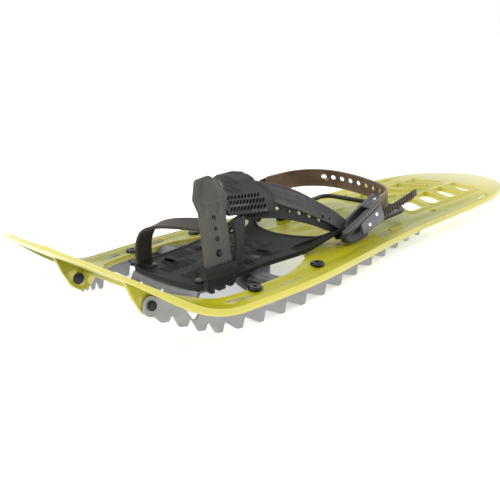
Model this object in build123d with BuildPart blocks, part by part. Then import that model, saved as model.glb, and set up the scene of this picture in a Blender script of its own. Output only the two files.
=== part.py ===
from build123d import *
import math
import os

# Left snowshoe: moulded deck, steel edge rails, pivoting binding and heel lifter.
# Millimetres. +X is the wearer's left (the buckle side), +Y runs to the tail, +Z is up.
# The origin is under the middle of the shoe, on the ground that the rail teeth touch.

# ---- deck ----
HALF_LENGTH = 319.5
DECK_TOP = 24.7
SHEET = 3.2
LIP_DEPTH = 5.8
LIP_WIDTH = 2.6
KNEE_Y = -226.0
NOSE_SLOPE = 0.655
KNEE_RADIUS = 90.0
NOSE_PLAN = [(46, -311), (68, -297), (86, -268), (96, -229), (100.5, -171)]
SIDE_PLAN = [(101, -115), (94.5, -50), (87.5, 10), (82.5, 70), (81, 130), (80, 190)]
TAIL_PLAN = [(77.5, 228), (73.5, 248), (66, 270), (54.5, 290), (37, 307)]
OPENING_FRONT = [(30, -250), (43, -244), (46, -232), (54, -221), (67, -210)]
OPENING_REAR = [(71, -116), (58, -86), (42, -70), (20, -61)]
OPENING_WAIST = 74.0
LATTICE = [(106, 33), (148, 31), (187, 28), (224, 25)]
BOLT_X = 79.0
BOLT_YS = (-171.0, -94.0)
EAR_X = 45.0
EAR_THICK = 3.0
EAR_RIVET = (-252.0, 28.0)

# ---- rails ----
RAIL_THICK = 2.2
RAIL_TOP = 20.8
RAIL_PATH = [
    (49.5, -262), (49.6, -256), (50.3, -249), (53.5, -243), (60, -236), (67, -228),
    (74, -216.5), (80, -203), (85.5, -185),
    (88, -158), (88.5, -125), (86.5, -92), (77, -36), (67, 22), (61, 76), (59, 132),
]
FIRST_TOOTH_Y = -243.0
PITCHES = [10, 11, 12, 16, 20, 24, 25, 28, 28, 31, 31, 29, 27, 24, 23]
TOOTH_DEPTH = 8.5
TIP_HALF = 2.2
SLOTS = [(-192, 22), (-139, 24), (24, 26)]
TAB_Y = 20.0

# ---- pivot and binding ----
PIVOT_Y = -138.0
PIVOT_Z = 13.5
AXLE_R = 3.5
RUN = 0.05
TILT = math.degrees(math.atan(0.041))
BED_FRONT_Y = -198.0
BED_Z = 20.8
BED_THICK = 3.2
STEEL = 2.0
JOINT_Y = -30.0
JOINT_Z = 31.5
JOINT_R = 2.5

# ---- heel lifter ----
WIRE_R = 2.5
LIFTER_Y = 0.0
LIFTER_Z = 31.0
LIFTER_X = 53.2
LIFTER_LENGTH = 83.0

STRAP = 3.0
SLOPE_ANGLE = math.atan(NOSE_SLOPE)


def save(solid, label):
    """Label a finished piece and write its STEP file."""
    solid.label = label
    export_step(solid, f"parts/{label}.step")


def rail_x(y):
    """Distance of the rail's middle from the centre line at y."""
    for (xa, ya), (xb, yb) in zip(RAIL_PATH, RAIL_PATH[1:]):
        if y <= yb:
            return xa + (xb - xa) * (y - ya) / (yb - ya)
    return RAIL_PATH[-1][0]


def rail_angle(y):
    """Angle in degrees between the rail and the centre line at y."""
    return math.degrees(math.atan2(rail_x(y + 9) - rail_x(y - 9), 18))


def nose_z(y, depth=0.0):
    """Height of the surface that lies depth below the deck's top."""
    rise = max(0.0, KNEE_Y - y) * NOSE_SLOPE
    return DECK_TOP + rise - (depth if y > KNEE_Y else depth / math.cos(SLOPE_ANGLE))


def side_path(depth):
    """Corner points of the deck's side profile, depth below its top surface."""
    knee = KNEE_Y - depth * math.tan(SLOPE_ANGLE / 2)
    front = -HALF_LENGTH - 20
    return [
        (front, DECK_TOP - depth + (knee - front) * NOSE_SLOPE),
        (knee, DECK_TOP - depth),
        (HALF_LENGTH + 20, DECK_TOP - depth),
    ]


def bent_sheet(upper, lower):
    """Endless bent sheet between two depths below the deck's top surface."""
    with BuildPart() as slab:
        with BuildSketch(Plane.YZ):
            with BuildLine():
                top = FilletPolyline(*side_path(upper), radius=KNEE_RADIUS + upper)
                low = FilletPolyline(*side_path(lower), radius=KNEE_RADIUS + lower)
                Line(top @ 0, low @ 0)
                Line(top @ 1, low @ 1)
            make_face()
        extrude(amount=120, both=True)
    return slab.part


def plan_face(inset=0.0):
    """The deck's outline seen from above, moved in by inset."""
    right = [(0, -HALF_LENGTH), *NOSE_PLAN, *SIDE_PLAN, *TAIL_PLAN]
    left = [(-x, y) for x, y in reversed(right[1:])]
    outline = Edge.make_spline([Vector(*p) for p in [*right, (0, HALF_LENGTH), *left]],
                               periodic=True)
    moved = []
    for k in range(48):
        way = outline % (k / 48)
        moved.append(outline @ (k / 48) + Vector(-way.Y, way.X) * inset)
    with BuildSketch() as plan:
        with BuildLine():
            Spline(*moved, periodic=True)
        make_face()
    return plan.sketch


def opening_face(grow=0.0):
    """The central opening that the binding swings through, grown by grow."""
    front = Edge.make_spline([Vector(0, -251), *(Vector(*p) for p in OPENING_FRONT),
                              Vector(OPENING_WAIST, -190)], tangents=[(1, 0), (0, 1)])
    rear = Edge.make_spline([Vector(OPENING_WAIST, -130), *(Vector(*p) for p in OPENING_REAR),
                             Vector(0, -58)], tangents=[(0, 1), (-1, 0)])
    grown = []
    for edge in (front, rear):
        ways = [edge % (k / 16) for k in range(17)]
        grown.append([edge @ (k / 16) + Vector(way.Y, -way.X) * grow
                      for k, way in enumerate(ways)])
    with BuildSketch() as hole:
        with BuildLine():
            Spline(*grown[0], tangents=[(1, 0), (0, 1)])
            Line(grown[0][-1], grown[1][0])
            Spline(*grown[1], tangents=[(0, 1), (-1, 0)])
            mirror(about=Plane.YZ)
        make_face()
    return hole.sketch


def plan_prism(face):
    """A plan face made into a tall solid."""
    with BuildPart() as prism:
        add(face)
        extrude(amount=140)
    return prism.part


os.makedirs("parts", exist_ok=True)

# ---------------- deck ----------------
with BuildPart() as deck:
    add(bent_sheet(0, LIP_DEPTH))
    add(plan_prism(plan_face()), mode=Mode.INTERSECT)
    # The sheet is thin inside a rim that hangs down all round the edge.
    add(bent_sheet(SHEET, LIP_DEPTH + 4) & plan_prism(plan_face(LIP_WIDTH)), mode=Mode.SUBTRACT)
    add(plan_prism(opening_face()), mode=Mode.SUBTRACT)
    # Ears that hang from the nose and take the front ends of the rails.
    for side in (-1, 1):
        with BuildSketch(Plane.YZ.offset(side * EAR_X)) as ear:
            with BuildLine():
                Polyline((-276, nose_z(-276, 1.5)), (-268, 36), (-258.5, 22.5))
                ThreePointArc((-258.5, 22.5), (-249, 15.5), (-238, 16.5))
                Polyline((-238, 16.5), (-229, 22), (-229, nose_z(-229, 1.5)),
                         (-276, nose_z(-276, 1.5)))
            make_face()
            with Locations(EAR_RIVET):
                Circle(3.0, mode=Mode.SUBTRACT)
        extrude(amount=side * EAR_THICK)
    # Slots that the rails' tabs stand in.
    with BuildSketch(Plane.XY) as slots:
        for y, length in SLOTS:
            for side in (-1, 1):
                with Locations((side * rail_x(y), y)):
                    SlotOverall(length, 4.4, rotation=90 - side * rail_angle(y))
        for side in (-1, 1):
            with Locations((side * 68, 217)):
                SlotOverall(30, 4.5, rotation=90 + side * 4)
            with Locations((side * 59, 126)):
                SlotOverall(9, 5, rotation=90)
    extrude(amount=60, mode=Mode.SUBTRACT)
    # Chevron lattice in the tail, each V pointing back, its holes walled like the rim.
    with BuildSketch(Plane.XY, mode=Mode.PRIVATE) as lattice:
        for y, span in LATTICE:
            for side in (-1, 1):
                with BuildLine():
                    Polyline(
                        (side * 6.5, y + 22), (side * 44.5, y), (side * 44.5, y + span),
                        (side * 6.5, y + 22 + span - (y - LATTICE[0][0]) / 11), close=True,
                    )
                make_face()
        fillet(lattice.vertices(), radius=2.5)
    with BuildSketch(Plane.XY.offset(DECK_TOP - LIP_DEPTH)):
        add(lattice.sketch)
        offset(amount=LIP_WIDTH)
    extrude(amount=LIP_DEPTH - SHEET / 2)
    with BuildSketch(Plane.XY):
        add(lattice.sketch)
    extrude(amount=60, mode=Mode.SUBTRACT)
    # The opening has the same wall, except where the pivot brackets sit.
    wall = bent_sheet(SHEET / 2, LIP_DEPTH) & plan_prism(opening_face(LIP_WIDTH))
    waist = Pos(0, -132.5, 0) * Box(220, 103, 100, mode=Mode.PRIVATE)
    add(wall - plan_prism(opening_face()) - waist)
    # Heel rest: a shallow pocket behind the opening.
    with BuildSketch(Plane.XY.offset(DECK_TOP - 1.2)):
        with Locations((0, -20)):
            RectangleRounded(58, 22, 4)
    extrude(amount=5, mode=Mode.SUBTRACT)
    with Locations(*[(side * BOLT_X, y, 0) for side in (-1, 1) for y in BOLT_YS]):
        Cylinder(3.0, 120, mode=Mode.SUBTRACT)
deck = deck.part
save(deck, "deck")

# ---------------- rails ----------------
tips = [FIRST_TOOTH_Y]
for pitch in PITCHES:
    tips.append(tips[-1] + pitch)


def tip_z(y):
    """Tooth tips lift towards the nose and a little towards the tail."""
    return max(0.0, (-213 - y) * 0.42, (y - 10) * 0.05)


def rail_outline():
    """Side view of one rail, from its front bottom corner round to its top."""
    points = [(-258.8, 21), (-250, 18.5)]
    for y, pitch in zip(tips, PITCHES + [23]):
        z = tip_z(y)
        depth = TOOTH_DEPTH * min(1.0, 0.45 + pitch / 36)
        points += [(y - TIP_HALF, z), (y + TIP_HALF, z), (y + TIP_HALF + 2.2, z + depth)]
    points += [(130, 12), (130, RAIL_TOP)]
    for y, length in reversed(SLOTS):
        tab = DECK_TOP - 1.0
        points += [(y + TAB_Y / 2, RAIL_TOP), (y + TAB_Y / 2, tab)]
        points += [(y - TAB_Y / 2, tab), (y - TAB_Y / 2, RAIL_TOP)]
    rise = 0.3 + DECK_TOP - RAIL_TOP
    points += [(KNEE_Y + 12, RAIL_TOP), (KNEE_Y, nose_z(KNEE_Y, rise) + 1.2)]
    points += [(-258.8, nose_z(-258.8, rise) - 1.0)]
    return points


def make_rail(side):
    """Toothed steel strip on one side of the shoe."""
    outer = [(side * (x + RAIL_THICK / 2), y) for x, y in RAIL_PATH]
    inner = [(side * (x - RAIL_THICK / 2), y) for x, y in RAIL_PATH]
    with BuildPart() as rail:
        with BuildSketch():
            with BuildLine():
                a = Spline(*outer)
                b = Spline(*inner)
                Line(a @ 0, b @ 0)
                Line(a @ 1, b @ 1)
            make_face()
        extrude(amount=60)
        with BuildSketch(Plane.YZ) as silhouette:
            with BuildLine():
                Polyline(*rail_outline(), close=True)
            make_face()
            ends = silhouette.vertices().sort_by(Axis.X)
            fillet(ends[0:2], radius=6)
            # Notches along the top edge, one between each pair of teeth.
            for y, pitch in zip(tips[1:-1], PITCHES[1:]):
                middle = y + 0.62 * pitch
                if any(abs(middle - s) < TAB_Y / 2 + 5.5 for s, _ in SLOTS):
                    continue
                top = nose_z(middle, DECK_TOP - RAIL_TOP)
                with BuildLine():
                    Polyline((middle - 4.5, top + 3), (middle - 4.5, top), (middle - 1, top - 6.5),
                             (middle + 1, top - 6.5), (middle + 4.5, top), (middle + 4.5, top + 3),
                             close=True)
                make_face(mode=Mode.SUBTRACT)
            with Locations(EAR_RIVET):
                Circle(3.0, mode=Mode.SUBTRACT)
        extrude(amount=side * 110, mode=Mode.INTERSECT)
    return rail.part


rails = {"rail_left": make_rail(1), "rail_right": make_rail(-1)}
for label, solid in rails.items():
    save(solid, label)

# Rivets through the ears: a domed head inside and a rolled ring outside.
with BuildPart() as rail_rivets:
    for side in (-1, 1):
        plane = Plane((side * EAR_X, *EAR_RIVET), x_dir=(0, 1, 0), z_dir=(side, 0, 0))
        with BuildSketch(plane.offset(-1.6)):
            Circle(4.7)
        extrude(amount=1.6)
        with BuildSketch(plane.offset(-0.1)):
            Circle(2.95)
        extrude(amount=EAR_THICK + 4.2)
        with BuildSketch(plane.offset(EAR_THICK + 3.6)):
            Circle(3.8)
        extrude(amount=1.2)
save(rail_rivets.part, "rail_rivets")

# ---------------- pivot ----------------
under = DECK_TOP - SHEET


def make_bracket(side):
    """Steel bracket bolted under the deck; its lug carries the pivot axle."""
    with BuildPart() as bracket:
        with BuildSketch(Plane.XY.offset(under - 2.4)):
            with Locations((side * 79.6, (BOLT_YS[0] + BOLT_YS[1]) / 2)):
                RectangleRounded(9.6, BOLT_YS[1] - BOLT_YS[0] + 16, 3)
        extrude(amount=2.4)
        with Locations(*[(side * BOLT_X, y, 0) for y in BOLT_YS]):
            Cylinder(3.0, 80, mode=Mode.SUBTRACT)
        with BuildSketch(Plane.YZ.offset(side * 74.8)):
            with BuildLine():
                Polyline((-155, under - 2.4), (-121, under - 2.4), (-121, under - 4.4),
                         (-131, 7), (-145, 7), (-155, under - 4.4), close=True)
            make_face()
            with Locations((PIVOT_Y, PIVOT_Z)):
                Circle(AXLE_R + RUN, mode=Mode.SUBTRACT)
        extrude(amount=side * 2.4)
    return bracket.part


for side, name in ((1, "left"), (-1, "right")):
    save(make_bracket(side), f"pivot_bracket_{name}")

with BuildPart() as deck_bolts:
    for side in (-1, 1):
        for y in BOLT_YS:
            spot = Plane((side * BOLT_X, y, DECK_TOP))
            with BuildSketch(spot):
                Circle(6.3)
            extrude(amount=1.2)
            with BuildSketch(spot.offset(1.2)):
                Circle(6.3)
            extrude(amount=1.1, taper=45)
            with BuildSketch(spot.offset(-13)):
                Circle(2.9)
            extrude(amount=13)
    tops = deck_bolts.faces().filter_by(Axis.Z).group_by(Axis.Z)[-1]
    for face in tops:
        with BuildSketch(Plane(face.center(), z_dir=(0, 0, 1))):
            RegularPolygon(2.2, 6)
        extrude(amount=-1.4, mode=Mode.SUBTRACT)
save(deck_bolts.part, "deck_bolts")

with BuildPart() as deck_nuts:
    for side in (-1, 1):
        for y in BOLT_YS:
            with BuildSketch(Plane((side * BOLT_X, y, under - 2.4))):
                RegularPolygon(4.6, 6)
                Circle(3.0, mode=Mode.SUBTRACT)
            extrude(amount=-4.5)
save(deck_nuts.part, "deck_nuts")

with BuildPart() as pivot_axle:
    with BuildSketch(Plane.YZ.offset(-79)):
        with Locations((PIVOT_Y, PIVOT_Z)):
            Circle(AXLE_R)
    extrude(amount=158)
    for x in (-79.5, 77.5):
        with BuildSketch(Plane.YZ.offset(x)):
            with Locations((PIVOT_Y, PIVOT_Z)):
                Circle(5.2)
        extrude(amount=2)
save(pivot_axle.part, "pivot_axle")

# ---------------- heel lifter ----------------
with BuildPart() as lifter_clips:
    for side in (-1, 1):
        with BuildSketch(Plane.YZ.offset(side * 40)):
            with BuildLine():
                Polyline((-8, DECK_TOP), (8, DECK_TOP), (5.5, 31))
                ThreePointArc((5.5, 31), (0, 36.5), (-5.5, 31))
                Line((-5.5, 31), (-8, DECK_TOP))
            make_face()
            with Locations((LIFTER_Y, LIFTER_Z)):
                Circle(WIRE_R + RUN, mode=Mode.SUBTRACT)
        extrude(amount=side * 7)
    fillet(lifter_clips.edges().filter_by(Axis.Y), radius=1)
save(lifter_clips.part, "lifter_clips")

with BuildPart() as heel_lifter:
    with BuildLine():
        reach = LIFTER_Y + LIFTER_LENGTH
        path = FilletPolyline(
            (LIFTER_X - 12, LIFTER_Y, LIFTER_Z), (LIFTER_X, LIFTER_Y, LIFTER_Z),
            (LIFTER_X, reach, LIFTER_Z + 3), (-LIFTER_X, reach, LIFTER_Z + 3),
            (-LIFTER_X, LIFTER_Y, LIFTER_Z), (12 - LIFTER_X, LIFTER_Y, LIFTER_Z),
            radius=[4, 12, 12, 4],
        )
    with BuildSketch(Plane(path @ 0, z_dir=path % 0)):
        Circle(WIRE_R)
    sweep(path=path)
save(heel_lifter.part, "heel_lifter")

# ---------------- binding: crampon and footbed ----------------
bed = Plane((0, BED_FRONT_Y, BED_Z), x_dir=(1, 0, 0),
            z_dir=(0, -math.sin(math.radians(TILT)), math.cos(math.radians(TILT))))

with BuildPart() as crampon:
    with BuildSketch(bed.offset(-STEEL)):
        with Locations((0, 44)):
            RectangleRounded(86, 88, 5)
        with Locations((-22, 60), (22, 60)):
            SlotOverall(24, 9, mode=Mode.SUBTRACT)
    extrude(amount=STEEL)
    # Front and rear claws, bent down from the plate.
    with BuildSketch(Plane.YZ):
        with BuildLine():
            Polyline((-196, BED_Z), (-198.5, BED_Z), (-205, 8.5), (-203, 7.8), (-196, 18.9),
                     close=True)
        make_face()
        with BuildLine():
            Polyline((-113, 24), (-115, 24), (-117, 5), (-115, 5), close=True)
        make_face()
    extrude(amount=42, both=True)
    with BuildSketch(Plane.XZ):
        for x in (-28, 0, 28):
            with BuildLine():
                Polyline((x - 9, 4), (x - 2, 15), (x + 2, 15), (x + 9, 4), close=True)
            make_face()
    extrude(amount=230, mode=Mode.SUBTRACT)
    # Hinge: a lug and a barrel on each side, with a curved guard over the barrel.
    for side in (-1, 1):
        with BuildSketch(Plane.YZ.offset(side * 38)):
            with BuildLine():
                Polyline((-158, 20.9), (-150, 12), (-143, 6), (-133, 6), (-126, 12), (-118, 22.4),
                         close=True)
            make_face()
            with Locations((PIVOT_Y, PIVOT_Z)):
                Circle(AXLE_R + RUN, mode=Mode.SUBTRACT)
        extrude(amount=side * 2.5)
        with BuildSketch(Plane.YZ.offset(side * 40)):
            with Locations((PIVOT_Y, PIVOT_Z)):
                Circle(5.6)
                Circle(AXLE_R + RUN, mode=Mode.SUBTRACT)
        extrude(amount=side * 34.2)
        with BuildSketch(Plane.YZ.offset(side * 47)):
            with BuildLine():
                CenterArc((PIVOT_Y, PIVOT_Z), 10.4, 35, 115)
                CenterArc((PIVOT_Y, PIVOT_Z), 8.6, 35, 115)
                for angle in (35, 150):
                    Line(Vector(PIVOT_Y, PIVOT_Z) + Vector(8.6, 0).rotate(Axis.Z, angle),
                         Vector(PIVOT_Y, PIVOT_Z) + Vector(10.4, 0).rotate(Axis.Z, angle))
            make_face()
            with Locations((PIVOT_Y, PIVOT_Z + 7.2)):
                Rectangle(2.4, 4.4)
        extrude(amount=side * 26)
crampon = crampon.part
save(crampon, "crampon")

BED_HALF = [(36, 0), (44, 5), (46, 30), (46, 78), (48, 96), (52, 110), (56, 118)]
ARM_X = 53.0
ARM_THICK = 3.0

with BuildPart() as footbed:
    with BuildSketch(bed):
        with BuildLine():
            right = [(0, 0), *BED_HALF, (56, 136), (50, 143), (36, 145), (0, 145)]
            Polyline(*right)
            mirror(about=Plane.YZ)
        make_face()
    extrude(amount=BED_THICK)
    with BuildSketch(bed) as grip:
        for x, y in ((-26, 28), (26, 28), (-26, 95), (26, 95)):
            with Locations((x, y)):
                SlotOverall(15, 5)
    extrude(amount=BED_THICK, mode=Mode.SUBTRACT)
    # Arms that rise to the heel strap's joints.
    for side in (-1, 1):
        with BuildSketch(Plane.YZ.offset(side * ARM_X)) as arm:
            with BuildLine():
                Polyline((-86, 25.9), (-30, 25.5))
                ThreePointArc((-30, 25.5), (-24, 31.5), (-30, 37.5))
                Polyline((-30, 37.5), (-60, 33.5), (-86, 29), (-86, 25.9))
            make_face()
            with Locations((JOINT_Y, JOINT_Z)):
                Circle(JOINT_R + RUN, mode=Mode.SUBTRACT)
        extrude(amount=side * ARM_THICK)
    with BuildSketch(bed.offset(BED_THICK)):
        for row in range(6):
            for side in (-1, 1):
                with Locations((side * 11, 45 + row * 9)):
                    Rectangle(15, 3, rotation=side * 12)
    extrude(amount=0.8)
save(footbed.part, "footbed")

with BuildPart() as binding_rivets:
    for x, y in ((-32, 12), (32, 12), (-30, 78), (30, 78)):
        spot = Plane(bed.from_local_coords((x, y, BED_THICK)), x_dir=bed.x_dir, z_dir=bed.z_dir)
        with BuildSketch(spot):
            Circle(5.2)
        extrude(amount=1.4, taper=20)
save(binding_rivets.part, "binding_rivets")

# ---------------- binding: straps ----------------
LEAN = math.radians(6.9)
strap_plane = Plane((48.5, -181, 24), x_dir=(0, 1, 0), z_dir=(math.cos(LEAN), 0, math.sin(LEAN)))

with BuildPart() as front_strap:
    with BuildSketch(strap_plane) as outline:
        with BuildLine():
            Polyline((-13.5, 8.8), (-13, 62), (-17, 72), (-12.5, 88), (1.5, 89), (6, 86), (17.5, 70),
                     (14, 59), (13.5, 8.8), close=True)
        make_face()
        fillet(outline.vertices(), radius=2)
        with Locations((0, 54.6), (0.5, 46.2), (1, 37.6)):
            Circle(2.0, mode=Mode.SUBTRACT)
    extrude(amount=3.4)
    with BuildSketch(strap_plane.offset(3.4)) as tab:
        with BuildLine():
            Polyline((-10, 70), (-8.5, 84), (1, 84.5), (11, 70), (7, 64), (-6, 64), close=True)
        make_face()
        fillet(tab.vertices(), radius=2)
    extrude(amount=1.6, taper=25)
save(front_strap.part, "front_strap")

with BuildPart() as strap_peg:
    with BuildSketch(strap_plane.offset(3.4)):
        with Locations((1.5, 26)):
            Circle(3.0)
    extrude(amount=1.8, taper=20)
save(strap_peg.part, "strap_peg")

# Grey anchor on the footbed's side, with notches, and the black keeper above it.
with BuildPart() as strap_anchor:
    with BuildSketch(Plane.YZ.offset(47)) as plate:
        with BuildLine():
            Polyline((-197, 24), (-195.5, 32), (-167, 32), (-165, 24), (-169, 21), (-193, 20),
                     close=True)
        make_face()
        fillet(plate.vertices(), radius=1.5)
        with Locations((-187, 21), (-175, 21)):
            Rectangle(5, 5, mode=Mode.SUBTRACT)
    extrude(amount=5.4)
save(strap_anchor.part, "strap_anchor")

with BuildPart() as strap_keeper:
    with BuildSketch(Plane.XY.offset(32.4)):
        with Locations((48.9, -181)):
            RectangleRounded(10, 33, 2)
            Rectangle(5.8, 28.4, mode=Mode.SUBTRACT)
    extrude(amount=9)
save(strap_keeper.part, "strap_keeper")


def ribbon(label, stations, width, thick):
    """Band lofted through stations of (centre, direction of travel, direction of width)."""
    with BuildPart() as band:
        for centre, along, across in stations:
            with BuildSketch(Plane(centre, x_dir=across, z_dir=along)):
                Rectangle(width, thick)
        loft(ruled=True)
    save(band.part, label)
    return band.part


toe_strap = ribbon(
    "toe_strap",
    [
        ((-47.8, -182, 24.5), (0, 0, 1), (0, 1, 0)),
        ((-47.8, -182, 36), (0.05, 0, 1), (0, 1, 0)),
        ((-43, -182.5, 50), (0.6, 0, 1), (0, 1, 0.05)),
        ((-31, -183, 61.5), (1, 0, 0.6), (0, 1, 0.15)),
        ((-10, -184, 69), (1, 0, 0.25), (0, 1, 0.3)),
        ((14, -185, 73), (1, 0, 0.12), (0, 1, 0.4)),
        ((40, -186, 75), (1, 0, 0.05), (0, 1, 0.45)),
    ],
    16,
    2.6,
)

with BuildPart() as instep_pad:
    with BuildSketch(Plane.XZ.offset(92)):
        with BuildLine():
            CenterArc((0, 50), 49, 18, 144)
            CenterArc((0, 50), 44.5, 18, 144)
            for angle in (18, 162):
                Line(Vector(0, 50) + Vector(44.5, 0).rotate(Axis.Z, angle),
                     Vector(0, 50) + Vector(49, 0).rotate(Axis.Z, angle))
        make_face()
    extrude(amount=58)
    fillet(instep_pad.edges().filter_by(Axis.Y), radius=1.5)
save(instep_pad.part, "instep_pad")

# Legs that stand the pad on the footbed's edges.
with BuildPart() as pad_feet:
    for side in (-1, 1):
        with BuildSketch(Plane.YZ.offset(side * 43)):
            Polygon((-140, 63.4), (-150, 26.8), (-160, 26.4), (-150, 63.4), align=None)
        extrude(amount=side * 2.6)
save(pad_feet.part, "pad_feet")

side_arms = {}
for side, name in ((1, "left"), (-1, "right")):
    with BuildPart() as arm:
        for centre, along, across, width in (
            ((side * 48.8, -108, 63.5), (side * 0.05, 1, -0.4), (0, 0.4, 1), 17),
            ((side * 54.5, -72, 52), (side * 0.12, 1, -0.42), (0, 0.42, 1), 16),
            ((side * 57.3, -44, 39), (0, 1, -0.42), (0, 0.42, 1), 14),
            ((side * 57.3, -25, 31.5), (0, 1, -0.42), (0, 0.42, 1), 9),
        ):
            with BuildSketch(Plane(centre, x_dir=across, z_dir=along)):
                Rectangle(width, 2.6)
        loft(ruled=True)
        with BuildSketch(Plane.YZ.offset(side * 50)):
            with Locations((JOINT_Y, JOINT_Z)):
                Circle(JOINT_R + RUN)
        extrude(amount=side * 20, mode=Mode.SUBTRACT)
    side_arms[name] = arm.part
    save(arm.part, f"side_arm_{name}")

with BuildPart() as perforated_strap:
    for centre, along, across in (
        ((45.8, -104, 58), (0.05, 1, -0.35), (0, 0.35, 1)),
        ((50, -70, 47.5), (0.06, 1, -0.35), (0, 0.35, 1)),
        ((51.2, -42, 38), (0, 1, -0.35), (0, 0.35, 1)),
    ):
        with BuildSketch(Plane(centre, x_dir=across, z_dir=along)):
            Rectangle(13, 2.2)
    loft(ruled=True)
    for k in range(5):
        with BuildSketch(Plane.YZ.offset(40)):
            with Locations((-96 + 11 * k, 56 - 3.7 * k)):
                Ellipse(3, 1.9, rotation=-20)
        extrude(amount=20, mode=Mode.SUBTRACT)
save(perforated_strap.part, "perforated_strap")

with BuildPart() as joint_bolts:
    for side in (-1, 1):
        plane = Plane((side * 50.6, JOINT_Y, JOINT_Z), x_dir=(0, 1, 0), z_dir=(side, 0, 0))
        with BuildSketch(plane):
            Circle(4.5)
        extrude(amount=2.4)
        with BuildSketch(plane):
            Circle(JOINT_R)
        extrude(amount=13)
        with BuildSketch(plane.offset(11.6)):
            Circle(5)
        extrude(amount=1.8)
save(joint_bolts.part, "joint_bolts")

# ---------------- heel strap and ratchet buckle ----------------
LOOP_X = 57.4
LOOP_REAR = 66.0
LOOP_START = -10.0
LOOP_FALL = 0.0975
LOOP_Z = 44.6
LOOP_HEIGHT = 20.0


def loop_path(x, rear, far_radius, near_radius):
    """U-shaped path of the heel strap seen from above."""
    return FilletPolyline((-x, LOOP_START), (-x, rear), (x, rear), (x, LOOP_START),
                          radius=[far_radius, near_radius])


with BuildPart() as heel_strap:
    with BuildSketch(Plane.XY.offset(30)):
        with BuildLine():
            outside = loop_path(LOOP_X + 1.2, LOOP_REAR + 1.2, 41.2, 47.2)
            inside = loop_path(LOOP_X - 1.2, LOOP_REAR - 1.2, 38.8, 44.8)
            Line(outside @ 0, inside @ 0)
            Line(outside @ 1, inside @ 1)
        make_face()
    extrude(amount=60)
    # The band slants down towards the buckle.
    with BuildSketch(Plane.XZ):
        with BuildLine():
            drop = 80 * LOOP_FALL
            Polyline((-80, LOOP_Z + drop), (80, LOOP_Z - drop), (80, LOOP_Z - drop + LOOP_HEIGHT),
                     (-80, LOOP_Z + drop + LOOP_HEIGHT), close=True)
        make_face()
    extrude(amount=120, both=True, mode=Mode.INTERSECT)
    for k in range(9):
        spot = outside @ (0.52 + 0.047 * k)
        way = outside % (0.52 + 0.047 * k)
        centre = (spot.X, spot.Y, LOOP_Z - LOOP_FALL * spot.X + 12)
        with BuildSketch(Plane(centre, z_dir=(way.Y, -way.X, 0)).offset(-6)):
            Circle(2.0)
        extrude(amount=12, mode=Mode.SUBTRACT)
save(heel_strap.part, "heel_strap")

SLANT = math.radians(21)
buckle = Plane((59.0, JOINT_Y, JOINT_Z), x_dir=(0, math.cos(SLANT), math.sin(SLANT)),
               z_dir=(1, 0, 0))
LINK_THICK = 2.6


with BuildPart() as heel_link:
    with BuildSketch(Plane((-59.0, JOINT_Y, JOINT_Z), x_dir=(0, 1, 0), z_dir=(1, 0, 0))):
        with BuildLine():
            Polyline((-4, 5), (14, 36), (34, 38), (36, 20), (26, 17), (5, -4))
            ThreePointArc((5, -4), (-2, -6), (-4, 5))
        make_face()
        Circle(JOINT_R + RUN, mode=Mode.SUBTRACT)
    extrude(amount=-LINK_THICK)
save(heel_link.part, "heel_link")


def across_buckle(x, y, z):
    """Plane whose normal runs down across the buckle, so its own y is outward."""
    return Plane(buckle.from_local_coords((x, y, z)), x_dir=buckle.x_dir, z_dir=-buckle.y_dir)


PIN_AT = (44.0, 8.4)
PIN_R = 1.6

BAR_TOP = 13.2
BAR_WIDTH = 5.1

with BuildPart() as buckle_base:
    with BuildSketch(buckle):
        with BuildLine():
            Polyline((0, -6), (18, -6.5), (46, -11.4), (52, -7), (52, 15), (8, 15), (0, 6))
            ThreePointArc((0, 6), (-6, 0), (0, -6))
        make_face()
        Circle(JOINT_R + RUN, mode=Mode.SUBTRACT)
    extrude(amount=LINK_THICK)
    # Walls above the lever and below the plate.
    with BuildSketch(buckle.offset(LINK_THICK)):
        with Locations((40, 14.3)):
            Rectangle(20, 1.4)
        Polygon((14, -5.3), (40, -10.4), (40, -8.8), (14, -3.7), align=None)
    extrude(amount=9)
    with BuildSketch(buckle.offset(5.8)):
        Polygon((14, -5.3), (45.6, -11.4), (48.6, -7), (47, 6.9), (14, 6.9), align=None)
    extrude(amount=5.8)
    with BuildSketch(across_buckle(0, 16, 0)):
        with Locations(PIN_AT):
            Circle(PIN_R + RUN)
    extrude(amount=18, mode=Mode.SUBTRACT)
save(buckle_base.part, "buckle_base")

# Black cover over the joint bolt's head, standing on the base.
with BuildPart() as joint_cover:
    with BuildSketch(buckle.offset(5.8)) as cover:
        with BuildLine():
            Polyline((-9.5, 3), (-9.5, 6.8), (13.4, 6.8), (13.4, -6), (22.5, -8), (20.5, -11.8),
                     (8, -8.6), (-5.5, -2.4), close=True)
        make_face()
        fillet(cover.vertices(), radius=0.8)
    extrude(amount=4.6)
    with BuildSketch(buckle.offset(LINK_THICK)):
        with Locations((10.5, 1)):
            Rectangle(5, 9)
    extrude(amount=5.8 - LINK_THICK)
    fillet(joint_cover.edges().group_by(Axis.X)[-1], radius=1.4)
save(joint_cover.part, "joint_cover")

with BuildPart() as lever_pin:
    with BuildSketch(across_buckle(0, 15.4, 0)):
        with Locations(PIN_AT):
            Circle(PIN_R)
    extrude(amount=17)
save(lever_pin.part, "lever_pin")

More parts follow.
